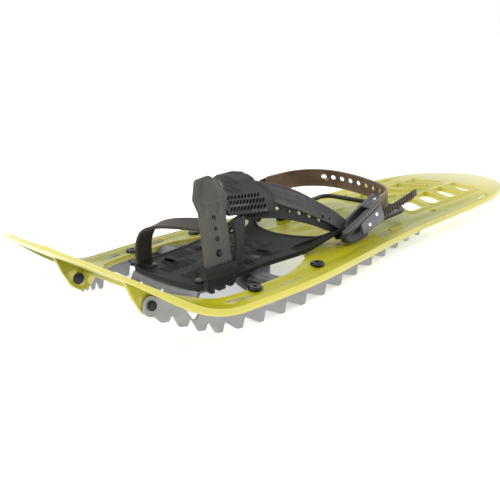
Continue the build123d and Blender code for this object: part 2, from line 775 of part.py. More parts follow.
with BuildPart() as buckle_lever:
    with BuildSketch(across_buckle(0, BAR_TOP, 0)) as profile:
        with BuildLine():
            Polyline((44, 11.4), (8, 12.2), (-7, 10.8), (-10, 8.6), (-9, 7.2), (6, 8.4), (40, 8.4),
                     (44, 8.4), close=True)
        make_face()
        fillet(profile.vertices().filter_by(lambda v: v.Y < JOINT_Y - 3), radius=0.8)
        with Locations(PIN_AT):
            Circle(3.0)
            Circle(PIN_R + RUN, mode=Mode.SUBTRACT)
    extrude(amount=BAR_WIDTH)
save(buckle_lever.part, "buckle_lever")

with BuildPart() as buckle_rivets:
    for x, y in ((37.7, 2.3), (25.0, -1.2)):
        with BuildSketch(Plane(buckle.from_local_coords((x, y, 11.6)), z_dir=(1, 0, 0))):
            Circle(2.1)
        extrude(amount=0.9, taper=25)
save(buckle_rivets.part, "buckle_rivets")

DIP = math.radians(12.5)
along_tail = Vector(0, math.cos(DIP), math.sin(DIP))
tail_plane = Plane(buckle.from_local_coords((53.7, -6.6, 0)), x_dir=along_tail,
                   z_dir=(0, math.sin(DIP), -math.cos(DIP)))

with BuildPart() as strap_tail:
    with BuildSketch(tail_plane) as side_view:
        with BuildLine():
            Polyline((-12, 3.1), (4, 3.1), (56, 6.2), (59, 7.4), (56, 8.4), (4, 5.3), (-12, 5.3),
                     close=True)
        make_face()
        for k in range(12):
            with Locations((5 + 4 * k, 5.9 + 0.238 * k)):
                Rectangle(1.8, 1.6)
    extrude(amount=6.4)
save(strap_tail.part, "strap_tail")
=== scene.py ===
import math

import bpy
import numpy as np
from mathutils import Matrix, Vector
from mathutils.geometry import delaunay_2d_cdt


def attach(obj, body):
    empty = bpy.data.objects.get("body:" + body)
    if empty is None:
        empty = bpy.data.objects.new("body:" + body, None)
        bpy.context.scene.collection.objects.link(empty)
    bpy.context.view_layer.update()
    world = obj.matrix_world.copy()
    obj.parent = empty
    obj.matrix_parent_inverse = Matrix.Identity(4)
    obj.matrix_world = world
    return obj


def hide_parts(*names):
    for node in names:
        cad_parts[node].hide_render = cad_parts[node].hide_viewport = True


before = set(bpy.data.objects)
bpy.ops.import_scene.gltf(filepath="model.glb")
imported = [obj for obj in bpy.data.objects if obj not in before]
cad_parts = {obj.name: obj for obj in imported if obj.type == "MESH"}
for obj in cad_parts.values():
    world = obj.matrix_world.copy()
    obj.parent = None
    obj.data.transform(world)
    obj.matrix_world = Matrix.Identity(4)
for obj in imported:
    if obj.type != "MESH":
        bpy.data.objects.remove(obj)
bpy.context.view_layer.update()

# Left snowshoe. Shapes are worked out in millimetres in the model's own frame and turned into
# metres when each mesh is made. +X is the wearer's left, +Y runs to the tail, +Z is up.
MM = 0.001
CREASE = math.radians(35.0)
WELD_GAP = 0.00001
SAME_POINT = 0.05
ROW_SHARE = 0.866  # height of an even triangle, for the rows of a mesh

DECK_TOP = 24.7
HALF_LENGTH = 319.5
KNEE_Y = -226.0
NOSE_SLOPE = 0.655
KNEE_RADIUS = 90.0
DECK_THICK = 3.2
RIM_DEPTH = 5.8
RIM_WIDTH = 2.4
LATTICE_WIDTH = 2.2
LATTICE_RISE = 22.0
LATTICE_INNER = 6.5
LATTICE_OUTER = 44.5
RAIL_SLOT_WIDTH = 4.4
BOLT_X = 79.0
BOLT_RADIUS = 3.0
EAR_THICK = 3.0
EAR_SIDES = (("left", 48), ("right", -45))
EAR_ENDS = (-273, -233)
RIVET_HOLE = (-252, 28, 3.0)
FRONT_STRAP_FOOT = (48.5, -181, 24)
FRONT_STRAP_LEAN = math.radians(6.9)
FRONT_STRAP_THICK = 3.4
TOE_STRAP_WIDTH = 17.0
TOE_STRAP_THICK = 2.6
HEEL_STRAP_WIDTH = 19.0
HEEL_STRAP_THICK = 2.4
HEEL_HOLE_START = 77.8
HEEL_HOLE_PITCH = 10.7
PAD_THICK = 4.2
SLOT_START = (15.5, -38.0)
SLOT_ROW = (5.8, 1.6)
SLOT_PITCH = 3.9
SLOT_END = 3.0
SLOT_LEAN = 0.80
ARM_THICK = 2.4
HOLED_STRAP_THICK = 2.2
LEG_THICK = 2.8
BED_THICK = 3.2


# ------------------------------------------------------------------ materials
def new_material(name, colour, rough, **values):
    """A principled material; values are sockets set directly on the shader."""
    material = bpy.data.materials.new(name)
    material.use_nodes = True
    nodes = material.node_tree.nodes
    shader = nodes["Principled BSDF"]
    shader.inputs["Base Color"].default_value = (*colour, 1)
    shader.inputs["Roughness"].default_value = rough
    for key, value in values.items():
        shader.inputs[key.replace("_", " ")].default_value = value
    return material, material.node_tree, shader


def noise(tree, scale, detail=3.0, stretch=(1, 1, 1)):
    """Noise factor in object coordinates; scale is in features per metre."""
    where = tree.nodes.new("ShaderNodeTexCoord")
    size = tree.nodes.new("ShaderNodeMapping")
    size.inputs["Scale"].default_value = stretch
    made = tree.nodes.new("ShaderNodeTexNoise")
    made.inputs["Scale"].default_value = scale
    made.inputs["Detail"].default_value = detail
    tree.links.new(where.outputs["Object"], size.inputs["Vector"])
    tree.links.new(size.outputs["Vector"], made.inputs["Vector"])
    return made.outputs["Fac"]


def ramp(tree, factor, stops):
    """Colour from a factor; stops are (position, colour)."""
    made = tree.nodes.new("ShaderNodeValToRGB")
    elements = made.color_ramp.elements
    while len(elements) < len(stops):
        elements.new(0.5)
    for element, (at, colour) in zip(elements, stops):
        element.position = at
        element.color = (*colour, 1)
    tree.links.new(factor, made.inputs["Fac"])
    return made.outputs["Color"]


def span(tree, value, low, high, start, end):
    """A value that goes from low to high while the given one goes from start to end."""
    made = tree.nodes.new("ShaderNodeMapRange")
    made.inputs["From Min"].default_value = start
    made.inputs["From Max"].default_value = end
    made.inputs["To Min"].default_value = low
    made.inputs["To Max"].default_value = high
    tree.links.new(value, made.inputs["Value"])
    return made.outputs["Result"]


def mix_colour(tree, factor, under, over):
    """Colour that turns from the output under to the fixed colour over with a factor."""
    made = tree.nodes.new("ShaderNodeMix")
    made.data_type = "RGBA"
    made.inputs["B"].default_value = (*over, 1)
    tree.links.new(factor, made.inputs["Factor"])
    tree.links.new(under, made.inputs["A"])
    return made.outputs["Result"]


def vary_rough(tree, shader, factor, low, high):
    """Roughness from low to high over the middle of a noise factor."""
    tree.links.new(span(tree, factor, low, high, 0.3, 0.7), shader.inputs["Roughness"])


def bump(tree, shader, heights, distance):
    """Chain of bumps from (height output, strength)."""
    last = None
    for height, strength in heights:
        made = tree.nodes.new("ShaderNodeBump")
        made.inputs["Strength"].default_value = strength
        made.inputs["Distance"].default_value = distance
        tree.links.new(height, made.inputs["Height"])
        if last:
            tree.links.new(last.outputs["Normal"], made.inputs["Normal"])
        last = made
    tree.links.new(last.outputs["Normal"], shader.inputs["Normal"])


def convex_edge(tree, low, high):
    """Factor that rises on outer edges, as the surface's pointiness goes from low to high."""
    geometry = tree.nodes.new("ShaderNodeNewGeometry")
    return span(tree, geometry.outputs["Pointiness"], 0.0, 1.0, low, high)


def moulded(name, dark, light, rough, **values):
    """Moulded plastic or rubber: cloudy tone, fine grain and paler edges."""
    material, tree, shader = new_material(name, light, rough, **values)
    cloud = noise(tree, 28.0, 4.0)
    tones = ramp(tree, cloud, [(0.30, dark), (0.72, light)])
    pale_edges = [min(1.0, c * 1.9 + 0.012) for c in light]
    tree.links.new(mix_colour(tree, convex_edge(tree, 0.515, 0.60), tones, pale_edges),
                   shader.inputs["Base Color"])
    vary_rough(tree, shader, cloud, rough - 0.06, rough + 0.09)
    bump(tree, shader, [(noise(tree, 900.0, 2.0), 0.25)], 0.0002)
    return material


def metal(name, dark, light, rough, stretch, metallic, grain=0.22):
    """Rolled or coated metal: streaks along one axis, mottled tone and brighter edges."""
    material, tree, shader = new_material(name, light, rough, Metallic=metallic)
    streaks = noise(tree, 60.0, 6.0, stretch)
    tones = ramp(tree, streaks, [(0.32, dark), (0.68, light)])
    pale_edges = [min(1.0, c * 1.35 + 0.02) for c in light]
    tree.links.new(mix_colour(tree, convex_edge(tree, 0.52, 0.62), tones, pale_edges),
                   shader.inputs["Base Color"])
    vary_rough(tree, shader, streaks, rough - 0.07, rough + 0.08)
    bump(tree, shader, [(noise(tree, 1400.0, 2.0, stretch), grain)], 0.0001)
    return material


def grey(level):
    """Neutral colour of one level."""
    return (level, level, level)


def deck_material():
    """Translucent lime plastic: thick and thin areas differ, with flow lines and grain."""
    material, tree, shader = new_material(
        "deck_lime", (0.50, 0.47, 0.03), 0.30, IOR=1.5, Specular_IOR_Level=0.42,
        Subsurface_Weight=0.18, Subsurface_Scale=0.006, Coat_Weight=0.12, Coat_Roughness=0.2)
    shader.inputs["Subsurface Radius"].default_value = (1.0, 0.9, 0.25)
    flow = noise(tree, 7.0, 4.0, (1.6, 0.5, 1))
    tones = ramp(tree, flow,
                 [(0.32, (0.170, 0.182, 0.001)), (0.50, (0.325, 0.318, 0.001)),
                  (0.70, (0.52, 0.475, 0.003))])
    # Painted highlight: the deck's edges are painted paler, as a bright line along each rim.
    pale_edges = mix_colour(tree, convex_edge(tree, 0.505, 0.56), tones, (0.62, 0.55, 0.16))
    # Both ends are paler than the middle; at the upturned nose this is painted light.
    where = tree.nodes.new("ShaderNodeTexCoord")
    split = tree.nodes.new("ShaderNodeSeparateXYZ")
    tree.links.new(where.outputs["Object"], split.inputs["Vector"])
    along = span(tree, split.outputs["Y"], 0.0, 1.0, -0.32, 0.32)
    ends = ramp(tree, along,
                [(0.0, grey(0.22)), (0.09, grey(0)), (0.84, grey(0)), (1.0, grey(0.75))])
    tree.links.new(mix_colour(tree, ends, pale_edges, (0.78, 0.72, 0.42)), shader.inputs["Base Color"])
    vary_rough(tree, shader, flow, 0.22, 0.38)
    ripple = noise(tree, 55.0, 2.0, (1.5, 0.5, 1))
    bump(tree, shader, [(ripple, 0.10), (noise(tree, 1200.0, 2.0), 0.10)], 0.0006)
    return material


LIME = deck_material()
RAIL = metal("rail_coat", (0.23, 0.235, 0.245), (0.34, 0.345, 0.36), 0.44, (1, 0.08, 1),
             metallic=0.35)
STEEL = metal("plated_steel", (0.065, 0.065, 0.074), (0.135, 0.135, 0.148), 0.42, (0.1, 1, 1),
              metallic=0.55)
DARK = metal("black_oxide", (0.006, 0.006, 0.007), (0.018, 0.018, 0.020), 0.28, (1, 1, 1),
             metallic=0.5)
WIRE = metal("coated_wire", (0.005, 0.005, 0.0055), (0.012, 0.012, 0.013), 0.34, (1, 0.3, 1),
             metallic=0.1)
CHROME = metal("bright_rivet", (0.62, 0.62, 0.64), (0.80, 0.80, 0.82), 0.14, (1, 1, 1),
               metallic=1.0, grain=0.05)
BED = moulded("bed_plastic", (0.005, 0.0055, 0.005), (0.013, 0.014, 0.0125), 0.46,
              Specular_IOR_Level=0.16)
PAD = moulded("pad_rubber", (0.011, 0.0115, 0.012), (0.027, 0.0275, 0.029), 0.50,
              Specular_IOR_Level=0.22)
ARM = moulded("arm_rubber", (0.026, 0.025, 0.026), (0.052, 0.050, 0.051), 0.46,
              Specular_IOR_Level=0.36)
STRAP = moulded("strap_rubber", (0.044, 0.041, 0.036), (0.080, 0.075, 0.067), 0.44,
                Specular_IOR_Level=0.32)
BROWN = moulded("strap_smoke", (0.085, 0.053, 0.034), (0.200, 0.134, 0.092), 0.38,
                Specular_IOR_Level=0.35, Subsurface_Weight=0.15, Subsurface_Scale=0.003)
TOE = moulded("strap_toe", (0.028, 0.022, 0.018), (0.048, 0.039, 0.031), 0.52,
              Specular_IOR_Level=0.22)
BUCKLE = moulded("buckle_plastic", (0.022, 0.023, 0.028), (0.048, 0.050, 0.058), 0.32,
                 Specular_IOR_Level=0.5)
LEVER = moulded("lever_plastic", (0.014, 0.014, 0.016), (0.032, 0.032, 0.036), 0.34,
                Specular_IOR_Level=0.5)


# ------------------------------------------------------------------ mesh making
def rounded(points, radius, step):
    """Closed polygon with rounded corners, its straight runs cut at about step.

    radius is one value, or one for each corner.
    """
    points = [Vector(p) for p in points]
    count = len(points)
    radii = radius if hasattr(radius, "__len__") else [radius] * count
    corners = []
    for i, (p, r) in enumerate(zip(points, radii)):
        a = points[i - 1] - p
        b = points[(i + 1) % count] - p
        half = a.angle(b) / 2
        reach = min(r / max(math.tan(half), 1e-3), 0.49 * min(a.length, b.length))
        r = reach * math.tan(half)
        if r < 1e-3:
            corners.append([p])
            continue
        start, end = p + a.normalized() * reach, p + b.normalized() * reach
        centre = p + (a.normalized() + b.normalized()).normalized() * (r / math.sin(half))
        arc = []
        n = max(3, int((math.pi - 2 * half) * r / (step * 0.6)))
        for k in range(n + 1):
            spot = start.lerp(end, k / n) - centre
            arc.append(centre + spot.normalized() * r)
        corners.append(arc)
    path = []
    for i, arc in enumerate(corners):
        path += arc
        gap = corners[(i + 1) % count][0] - arc[-1]
        pieces = max(1, int(round(gap.length / step)))
        path += [arc[-1] + gap * (k / pieces) for k in range(1, pieces)]
    return clean(path)


def clean(path):
    """The closed path without points that nearly repeat."""
    kept = [path[0]]
    for p in path[1:]:
        if (p - kept[-1]).length > SAME_POINT:
            kept.append(p)
    if (kept[0] - kept[-1]).length < SAME_POINT:
        kept.pop()
    return kept


def smooth_path(points, step, closed=False):
    """Catmull-Rom curve through points, cut at about step."""
    p = np.array([tuple(q) for q in points], float)
    if closed:
        p = np.vstack([p[-1], p, p[0], p[1]])
    else:
        p = np.vstack([2 * p[0] - p[1], p, 2 * p[-1] - p[-2]])
    out = []
    for i in range(1, len(p) - 2):
        n = max(2, int(math.ceil(np.linalg.norm(p[i + 1] - p[i]) / step)))
        for t in np.arange(n) / n:
            out.append(0.5 * (2 * p[i] + (p[i + 1] - p[i - 1]) * t
                              + (2 * p[i - 1] - 5 * p[i] + 4 * p[i + 1] - p[i + 2]) * t**2
                              + (3 * p[i] - p[i - 1] - 3 * p[i + 1] + p[i + 2]) * t**3))
    if not closed:
        out.append(p[-2])
    return [Vector(q) for q in out]


def ring(x, y, rx, ry=None, turn=0.0, count=16):
    """Ellipse as a closed path."""
    ry = ry or rx
    c, s = math.cos(turn), math.sin(turn)
    path = []
    for k in range(count):
        a = 2 * math.pi * k / count
        u, v = rx * math.cos(a), ry * math.sin(a)
        path.append(Vector((x + u * c - v * s, y + u * s + v * c)))
    return path


def area(path):
    """Signed area of a closed path."""
    p = np.array([tuple(q) for q in path])
    q = np.roll(p, -1, 0)
    return 0.5 * float(np.sum(p[:, 0] * q[:, 1] - q[:, 0] * p[:, 1]))


def inside(points, loops):
    """Even-odd test of points against all loops at once."""
    odd = np.zeros(len(points), bool)
    x, y = points[:, 0], points[:, 1]
    for loop in loops:
        for (ax, ay), (bx, by) in zip(loop, np.roll(loop, -1, 0)):
            if ay == by:
                continue
            crosses = (ay > y) != (by > y)
            odd ^= crosses & (x < (bx - ax) * (y - ay) / (by - ay) + ax)
    return odd


def distance(points, loop):
    """Distance from each point to a closed polyline."""
    best = np.full(len(points), 1e9)
    for p, q in zip(loop, np.roll(loop, -1, 0)):
        d = q - p
        t = np.clip(((points - p) @ d) / max(d @ d, 1e-9), 0, 1)
        best = np.minimum(best, np.linalg.norm(points - p - t[:, None] * d, axis=1))
    return best


def make_object(name, vertices, faces, material, body, replaced=()):
    """Mesh object from millimetre vertices, on its body."""
    mesh = bpy.data.meshes.new(name)
    mesh.from_pydata([tuple(c * MM for c in v) for v in vertices], [], faces)
    mesh.validate()
    mesh.materials.append(material)
    mesh.shade_smooth()
    made = bpy.data.objects.new(name, mesh)
    bpy.context.scene.collection.objects.link(made)
    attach(made, body)
    if replaced:
        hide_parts(*replaced)
    return made


def turned(paths):
    """Closed paths as arrays; the first runs anticlockwise and the others clockwise."""
    loops = []
    for k, path in enumerate(paths):
        path = clean([Vector((p[0], p[1])) for p in path])
        if (area(path) > 0) != (k == 0):
            path = path[::-1]
        loops.append(np.array([tuple(p) for p in path]))
    return loops


def inward(loop):
    """Unit normals of a loop, towards the material."""
    way = np.roll(loop, -1, 0) - np.roll(loop, 1, 0)
    way /= np.linalg.norm(way, axis=1)[:, None]
    return np.stack([-way[:, 1], way[:, 0]], 1)


def fill(loops, low, high, step):
    """Even triangles between loops, on rows from low to high.

    Returns the spots, the triangles and the new index of each of the loops' points.
    """
    grid = []
    for i, v in enumerate(np.arange(low[1], high[1], step * ROW_SHARE)):
        for u in np.arange(low[0] + (i % 2) * step / 2, high[0], step):
            grid.append((u, v))
    grid = np.array(grid)
    grid = grid[inside(grid, loops)]
    clearance = 0.45 * step
    for loop in loops:
        grid = grid[distance(grid, loop) > clearance]
    edges = []
    base = 0
    for loop in loops:
        n = len(loop)
        edges += [(base + i, base + (i + 1) % n) for i in range(n)]
        base += n
    found, _, triangles, origin, _, _ = delaunay_2d_cdt(
        [Vector(p) for p in np.vstack([*loops, grid])], edges, [], 0, 1e-5)
    index = {}
    for new, old in enumerate(origin):
        for o in old:
            index[o] = new
    spots = np.array([tuple(p) for p in found])
    centres = np.array([spots[list(t)].mean(0) for t in triangles])
    chosen = inside(centres, loops)
    return spots, [t for t, ok in zip(triangles, chosen) if ok], index


def edge_profile(edge, thick, bottom, width):
    """Rows of a sheet's edge, from its face down: (inset, height, rise share, hang share)."""
    profile = []
    for degrees in (0.0, 30.0, 60.0, 90.0):
        turn = math.radians(degrees)
        profile.append((edge * (1 - math.sin(turn)), -edge * (1 - math.cos(turn)), 1.0, 0.0))
    soft = min(edge, 0.45 * thick)
    for degrees in (0.0, 45.0, 90.0):
        turn = math.radians(degrees)
        profile.append((soft * (1 - math.cos(turn)), soft * (1 - math.sin(turn)) - bottom,
                        0.0, 1.0))
    if width:
        profile += [(width * 0.75, -bottom, 0.0, 1.0), (width, 0.2 - bottom, 0.0, 1.0)]
    return profile


def shell(outer, holes, place, thick, step=2.5, edge=0.7, relief=None, walls=None, hang=None):
    """Vertices and faces of a moulded sheet with rounded edges.

    outer and holes are closed paths in the sheet's own (u, v); place(u, v, w) gives the point
    at height w above the sheet's face. relief(points, distances) raises the face. walls gives,
    loop by loop, how deep the edge hangs below the face and how wide that wall is; hang(point)
    is the share of that extra depth that the edge has at a point.
    """
    loops = turned([outer, *holes])
    normals = [inward(loop) for loop in loops]
    walls = walls or {}
    hang = hang or (lambda p: 1.0)
    inset = [max(edge, walls[k][1] if k in walls else 0) * 1.02 for k in range(len(loops))]
    inner = [loop + n * d for loop, n, d in zip(loops, normals, inset)]
    spots, triangles, index = fill(inner, loops[0].min(0), loops[0].max(0), step)
    gaps = np.min([distance(spots, loop) for loop in loops], axis=0)
    lift = relief(spots, gaps) if relief else np.zeros(len(spots))
    vertices = [place(u, v, w) for (u, v), w in zip(spots, lift)]
    low_start = len(vertices)
    vertices += [place(u, v, -thick) for u, v in spots]
    faces = [tuple(t) for t in triangles]
    faces += [tuple(i + low_start for i in reversed(t)) for t in triangles]
    base = 0
    for k, (loop, normal) in enumerate(zip(loops, normals)):
        n = len(loop)
        bottom, width = walls.get(k, (thick, None))
        rim = [index[base + i] for i in range(n)]
        extra = [(bottom - thick) * (1 - hang(p)) for p in loop]
        strips = [rim]
        for gap, height, rise, hung in edge_profile(edge, thick, bottom, width):
            first = len(vertices)
            for i, q in enumerate(loop + normal * gap):
                vertices.append(place(q[0], q[1], height + lift[rim[i]] * rise + extra[i] * hung))
            strips.append(list(range(first, first + n)))
        strips.append([i + low_start for i in rim])
        for upper, lower in zip(strips, strips[1:]):
            for i in range(n):
                j = (i + 1) % n
                faces.append((upper[i], lower[i], lower[j], upper[j]))
        base += n
    return vertices, faces


def flat_plane(origin, along, across):
    """place function of a plane."""
    o, a, b = Vector(origin), Vector(along).normalized(), Vector(across).normalized()
    n = a.cross(b)
    return lambda u, v, w: o + a * u + b * v + n * w


def curved(stations, flip=1):
    """place function of a band, and its length.

    stations are (point, across) along the band's middle; u runs along it in millimetres.
    """
    points = np.array([tuple(p) for p in smooth_path([s[0] for s in stations], 1.0)])
    marks = [s[1] for s in stations]
    run = np.r_[0, np.cumsum(np.linalg.norm(np.diff(points, axis=0), axis=1))]
    at = []
    for s in stations:
        at.append(run[np.argmin(np.linalg.norm(points - np.array(s[0]), axis=1))])
    marks = np.array([np.array(m) / np.linalg.norm(m) for m in marks])

    def spot(u):
        return Vector([np.interp(u, run, points[:, k]) for k in range(3)])

    def place(u, v, w):
        extra = min(0.0, u) + max(0.0, u - run[-1])
        u = min(max(u, 0.0), run[-1])
        tangent = (spot(min(u + 1.5, run[-1])) - spot(max(u - 1.5, 0))).normalized()
        across = Vector([np.interp(u, at, marks[:, k]) for k in range(3)]).normalized()
        normal = tangent.cross(across).normalized() * flip
        return spot(u) + tangent * extra + across * v + normal * w
    return place, run[-1]


def bead(width, height):
    """Relief: a raised bead that follows every edge."""
    def relief(spots, gaps):
        return height * np.clip(1 - (gaps - width) / 0.8, 0, 1)
    return relief


def ease(x):
    """Smooth step from 0 to 1."""
    x = np.clip(x, 0, 1)
    return x * x * (3 - 2 * x)


# ------------------------------------------------------------------ CAD nodes that stay
def dress(node, material, bevel):
    """A CAD node's finish, with soft shading and fine bevelled edges; bevel is in millimetres."""
    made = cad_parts[node]
    made.data.materials.clear()
    made.data.materials.append(material)
    made.data.polygons.foreach_set("material_index", [0] * len(made.data.polygons))
    made.data.shade_smooth()
    made.data.set_sharp_from_angle(angle=CREASE)
    weld = made.modifiers.new("weld", "WELD")
    weld.merge_threshold = WELD_GAP
    if bevel:
        soft = made.modifiers.new("bevel", "BEVEL")
        soft.width = bevel * MM
        soft.segments = 2
        soft.limit_method = "ANGLE"
        soft.angle_limit = CREASE
        soft.harden_normals = True
        soft.use_clamp_overlap = True


for node, material, bevel in (
    ("rail_left", RAIL, 0.3), ("rail_right", RAIL, 0.3), ("rail_rivets", DARK, 0.35),
    ("pivot_bracket_left", STEEL, 0.3), ("pivot_bracket_right", STEEL, 0.3),
    ("deck_bolts", DARK, 0.2), ("deck_nuts", STEEL, 0.3), ("pivot_axle", STEEL, 0.3),
    ("lifter_clips", BED, 0.4), ("heel_lifter", WIRE, 0.0), ("crampon", STEEL, 0.3),
    ("binding_rivets", DARK, 0.3), ("joint_bolts", DARK, 0.35), ("heel_link", BED, 0.5),
    ("buckle_base", BUCKLE, 0.4), ("joint_cover", LEVER, 0.3), ("lever_pin", CHROME, 0.2),
    ("buckle_lever", LEVER, 0.4), ("buckle_rivets", CHROME, 0.2), ("strap_tail", TOE, 0.25),
    ("strap_peg", DARK, 0.3), ("strap_anchor", BED, 0.5), ("strap_keeper", BED, 0.5),
):
    dress(node, material, bevel)


# ------------------------------------------------------------------ deck
def deck_height(y):
    """Height of the deck's face along its length, with the nose bent up."""
    angle = math.atan(NOSE_SLOPE)
    reach = KNEE_RADIUS * math.tan(angle / 2)
    start = KNEE_Y + reach
    end = KNEE_Y - reach * math.cos(angle)
    if y >= start:
        return DECK_TOP, 0.0
    if y <= end:
        return DECK_TOP + (KNEE_Y - y) * NOSE_SLOPE, angle
    drop = start - y
    return DECK_TOP + KNEE_RADIUS - math.sqrt(KNEE_RADIUS**2 - drop**2), math.asin(
        drop / KNEE_RADIUS)


def on_deck(u, v, w):
    """Point on the deck's plan (u, v), w above its face along its normal but kept in plan."""
    z, angle = deck_height(v)
    return Vector((u, v, z + w / math.cos(angle)))


def mirrored(points, start, end):
    """Right half plus its mirror image, closed."""
    right = [start, *points, end]
    return right + [(-x, y) for x, y in reversed(points)]


NOSE_PLAN = [(46, -311), (68, -297), (86, -268), (96, -229), (100.5, -171)]
SIDE_PLAN = [(101, -115), (94.5, -50), (87.5, 10), (82.5, 70), (81, 130), (80, 190)]
TAIL_PLAN = [(77.5, 228), (73.5, 248), (66, 270), (54.5, 290), (37, 307)]
LATTICE = [(106, 33), (148, 31), (187, 28), (224, 25)]
outline = smooth_path(
    mirrored(NOSE_PLAN + SIDE_PLAN + TAIL_PLAN, (0, -HALF_LENGTH), (0, HALF_LENGTH)), 4.0, True)
OPENING = [(30, -250), (43, -244), (46, -232), (54, -221), (67, -210), (74, -190), (74.3, -160),
           (74, -130), (71, -116), (58, -86), (42, -70), (20, -61)]
opening = smooth_path(mirrored(OPENING, (0, -251), (0, -58)), 3.0, True)

RAIL_PATH = [(74, -216.5), (80, -203), (85.5, -185), (88, -158), (88.5, -125), (86.5, -92),
             (77, -36), (67, 22), (61, 76), (59, 132)]
RAIL_SLOTS = [(-192, 22), (-139, 24), (24, 26)]


def rail_x(y):
    """Distance of the rail's middle from the centre line."""
    return float(np.interp(y, [p[1] for p in RAIL_PATH], [p[0] for p in RAIL_PATH]))


def slot_path(x, y, length, width, lean):
    """Long rounded hole; lean is the angle from the centre line in radians."""
    c, s = math.cos(lean), math.sin(lean)
    half = length / 2 - width / 2
    path = []
    for sign in (1, -1):
        for k in range(7):
            a = math.pi * k / 6
            u = width / 2 * math.cos(a) * sign
            v = (half + width / 2 * math.sin(a)) * sign
            path.append(Vector((x + u * c + v * s, y - u * s + v * c)))
    return path


lattice_holes = []
for y, length in LATTICE:
    for side in (-1, 1):
        inner_end = y + LATTICE_RISE + length - (y - LATTICE[0][0]) / 11
        corners = [(side * LATTICE_INNER, y + LATTICE_RISE), (side * LATTICE_OUTER, y),
                   (side * LATTICE_OUTER, y + length), (side * LATTICE_INNER, inner_end)]
        lattice_holes.append(rounded(corners, 2.6, 3.0))
deck_holes = [opening, *lattice_holes]
for y, length in RAIL_SLOTS:
    for side in (-1, 1):
        lean = side * math.atan2(rail_x(y + 9) - rail_x(y - 9), 18)
        deck_holes.append(slot_path(side * rail_x(y), y, length, RAIL_SLOT_WIDTH, lean))
for side in (-1, 1):
    deck_holes.append(slot_path(side * 68, 217, 30, 4.5, -side * math.radians(4)))
    deck_holes.append(slot_path(side * 59, 126, 9, 5, 0.0))
    for y in (-171, -94):
        deck_holes.append(ring(side * BOLT_X, y, BOLT_RADIUS, count=14))

lattice_loops = [np.array([tuple(p) for p in path]) for path in lattice_holes]
outline_loop = np.array([tuple(p) for p in outline])


def deck_relief(spots, gaps):
    """Ribs, channels and pads pressed into the deck's face."""
    x, y = np.abs(spots[:, 0]), spots[:, 1]
    lift = np.zeros(len(spots))
    # The lattice's bars are sunk, with a raised hem round each hole.
    near = np.min([distance(spots, loop) for loop in lattice_loops], axis=0)
    tail = ease((y - 92) / 14) * ease((268 - y) / 14) * ease((56 - x) / 8)
    lift -= 1.3 * tail * ease((near - 3.2) / 2.2)
    lift += 0.9 * ease(1 - np.abs(near - 1.6) / 2.4) * (near < 5)
    # Channel that runs round inside the rim.
    rim = np.interp(y, [-200, -60, 60, 250], [12, 11, 9, 8])
    edge_gap = distance(spots, outline_loop)
    channel = ease(1 - np.abs(edge_gap - rim - 5) / 7.0)
    lift -= 1.5 * channel * ease((y + 250) / 40) * ease((262 - y) / 25)
    # Ridge at each side of the middle, and a shallow dip between them.
    ridge = np.interp(y, [-60, 100], [30, 22])
    lift += 1.1 * ease(1 - np.abs(x - ridge) / 4.5) * ease((y + 48) / 12) * ease((86 - y) / 12)
    lift -= 1.0 * ease(1 - x / 14) * ease((y + 34) / 6) * ease((-6 - y) / 6)
    # Ridge at each side of the nose.
    nose = ease((-262 - y) / 10)
    lift += 0.8 * nose * ease(1 - np.abs(x - 24) / 6) * ease((64 - x) / 8)
    return lift


def nose_hang(point):
    """Share of the rim's extra depth, which fades out at the tip of the nose."""
    return float(ease((point[1] + 300) / 50))


# The first two loops are the outline and the opening, and the lattice's holes follow.
walls = {0: (RIM_DEPTH, RIM_WIDTH), 1: (RIM_DEPTH, RIM_WIDTH)}
for k in range(len(lattice_holes)):
    walls[k + 2] = (RIM_DEPTH, LATTICE_WIDTH)
vertices, faces = shell(outline, deck_holes, on_deck, DECK_THICK, step=3.6, edge=1.1,
                        relief=deck_relief, walls=walls, hang=nose_hang)
make_object("deck_shell", vertices, faces, LIME, "frame", ["deck"])

# Ears that hang from the nose, with the rails' front rivets through them.
ear_top = [(y, deck_height(y)[0] - 2.0) for y in EAR_ENDS]
for name, x in EAR_SIDES:
    profile = [ear_top[0], (-266, 36), (-258.5, 22.5), (-250, 16), (-242, 17.5), (-235.5, 24),
               ear_top[1]]
    path = rounded(profile, [0.5, 14, 12, 9, 8, 5, 0.5], 2.5)
    place = flat_plane((x, 0, 0), (0, 1, 0), (0, 0, 1))
    vertices, faces = shell(path, [ring(*RIVET_HOLE)], place, EAR_THICK, step=4.0, edge=0.7)
    make_object(f"deck_ear_{name}", vertices, faces, LIME, "frame")


# ------------------------------------------------------------------ straps
lean_cos, lean_sin = math.cos(FRONT_STRAP_LEAN), math.sin(FRONT_STRAP_LEAN)
strap_front = Vector(FRONT_STRAP_FOOT) + Vector((lean_cos, 0, lean_sin)) * FRONT_STRAP_THICK
strap_face = flat_plane(strap_front, (0, 1, 0), (-lean_sin, 0, lean_cos))
STRAP_OUTLINE = [(-13.5, 8.8), (-13.2, 40), (-13, 61), (-17, 72), (-12.5, 87), (1.5, 88.5),
                 (6, 85.5), (17.5, 70), (14, 58), (13.7, 30), (13.5, 8.8)]
STRAP_HOLES = [(0, 54.6, 2.2), (0.5, 46.2, 1.5), (1, 37.6, 2.2)]


def band_of(y, low, high, soft=1.2):
    """1 between low and high, with soft shoulders."""
    return ease((y - low) / soft) * ease((high - y) / soft)


